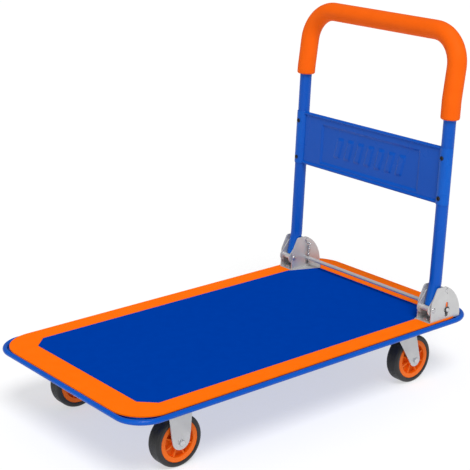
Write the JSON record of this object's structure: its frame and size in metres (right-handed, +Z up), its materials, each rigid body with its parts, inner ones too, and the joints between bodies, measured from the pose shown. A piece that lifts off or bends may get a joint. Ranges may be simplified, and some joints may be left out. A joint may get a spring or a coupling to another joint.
{
  "type": "folding platform cart",
  "caption": "Flat four-wheeled platform cart with a matted steel deck and a hoop handle that folds down flat over the deck.",
  "frame": {"origin": "middle of the deck's outline in plan, on the floor under the wheels", "axes": "+X along the deck to the handle end, +Y to the left side seen from behind the handle looking over the deck's front, +Z up"},
  "size_m": [0.845, 0.476, 0.7292],
  "materials": {
    "blue_paint": "gloss blue powder coat",
    "mat_orange": "matt orange vinyl with a fine grain",
    "mat_blue": "matt blue vinyl with a fine grain",
    "grip_foam": "closed-cell foam, dull, fine pores",
    "zinc": "bright zinc plate",
    "bright_steel": "zinc-plated steel hardware",
    "dark_steel": "blackened steel",
    "tyre_rubber": "black rubber, matt, fine tread lines",
    "hub_plastic": "satin orange polypropylene"
  },
  "bodies": {
    "deck": {"deck_pan": "blue_paint", "cross_member_front": "blue_paint", "cross_member_rear": "blue_paint", "deck_ribs": "blue_paint", "mat_border": "mat_orange", "mat_centre": "mat_blue", "bracket_left": "zinc", "bracket_right": "zinc", "bracket_bolts": "bright_steel", "bracket_nuts": "bright_steel", "hinge_pins": "bright_steel", "stop_pins": "bright_steel", "spring_anchors": "bright_steel", "spring_left": "bright_steel", "spring_right": "bright_steel", "rigid_fork_left": "zinc", "rigid_fork_right": "zinc", "rigid_axles": "bright_steel", "rigid_axle_nuts": "dark_steel", "swivel_plate_left": "zinc", "swivel_plate_right": "zinc", "kingpins": "bright_steel", "race_balls": "bright_steel", "caster_bolts": "bright_steel", "caster_nuts": "bright_steel"},
    "handle": {"handle_tube": "blue_paint", "hinge_sleeves": "zinc", "lock_cams": "zinc", "handle_grip": "grip_foam", "cross_panel": "blue_paint", "panel_screws": "dark_steel"},
    "release_rod": {"release_rod": "zinc", "rod_clips": "dark_steel"},
    "swivel_left": {"swivel_fork_left": "zinc", "swivel_axle_left": "bright_steel", "swivel_axle_nut_left": "dark_steel"},
    "swivel_right": {"swivel_fork_right": "zinc", "swivel_axle_right": "bright_steel", "swivel_axle_nut_right": "dark_steel"},
    "wheel_front_left": {"tyre_front_left": "tyre_rubber", "hub_front_left": "hub_plastic", "bush_front_left": "bright_steel"},
    "wheel_front_right": {"tyre_front_right": "tyre_rubber", "hub_front_right": "hub_plastic", "bush_front_right": "bright_steel"},
    "wheel_rear_left": {"tyre_rear_left": "tyre_rubber", "hub_rear_left": "hub_plastic", "bush_rear_left": "bright_steel"},
    "wheel_rear_right": {"tyre_rear_right": "tyre_rubber", "hub_rear_right": "hub_plastic", "bush_rear_right": "bright_steel"}
  },
  "joints": [
    {"name": "handle_fold", "type": "hinge", "parent": "deck", "child": "handle", "pos_m": [0.3075, 0, 0.17], "axis": [0, -1, 0], "range_deg": [0, 96.5]},
    {"name": "rod_release", "type": "slide", "parent": "deck", "child": "release_rod", "axis": [0, 0, -1], "range_m": [0, 0.008], "stiffness_N_per_m": 2400, "springref_m": -0.004, "deforming": ["spring_left", "spring_right"]},
    {"name": "swivel_left_turn", "type": "hinge", "parent": "deck", "child": "swivel_left", "pos_m": [0.28, 0.163, 0.119], "axis": [0, 0, 1], "continuous": true},
    {"name": "wheel_front_left_spin", "type": "hinge", "parent": "deck", "child": "wheel_front_left", "pos_m": [-0.284, 0.163, 0.05], "axis": [0, 1, 0], "continuous": true},
    {"name": "wheel_rear_left_spin", "type": "hinge", "parent": "swivel_left", "child": "wheel_rear_left", "pos_m": [0.308, 0.163, 0.05], "axis": [0, 1, 0], "continuous": true},
    {"name": "swivel_right_turn", "type": "hinge", "parent": "deck", "child": "swivel_right", "pos_m": [0.28, -0.163, 0.119], "axis": [0, 0, 1], "continuous": true},
    {"name": "wheel_front_right_spin", "type": "hinge", "parent": "deck", "child": "wheel_front_right", "pos_m": [-0.284, -0.163, 0.05], "axis": [0, 1, 0], "continuous": true},
    {"name": "wheel_rear_right_spin", "type": "hinge", "parent": "swivel_right", "child": "wheel_rear_right", "pos_m": [0.308, -0.163, 0.05], "axis": [0, 1, 0], "continuous": true}
  ]
}
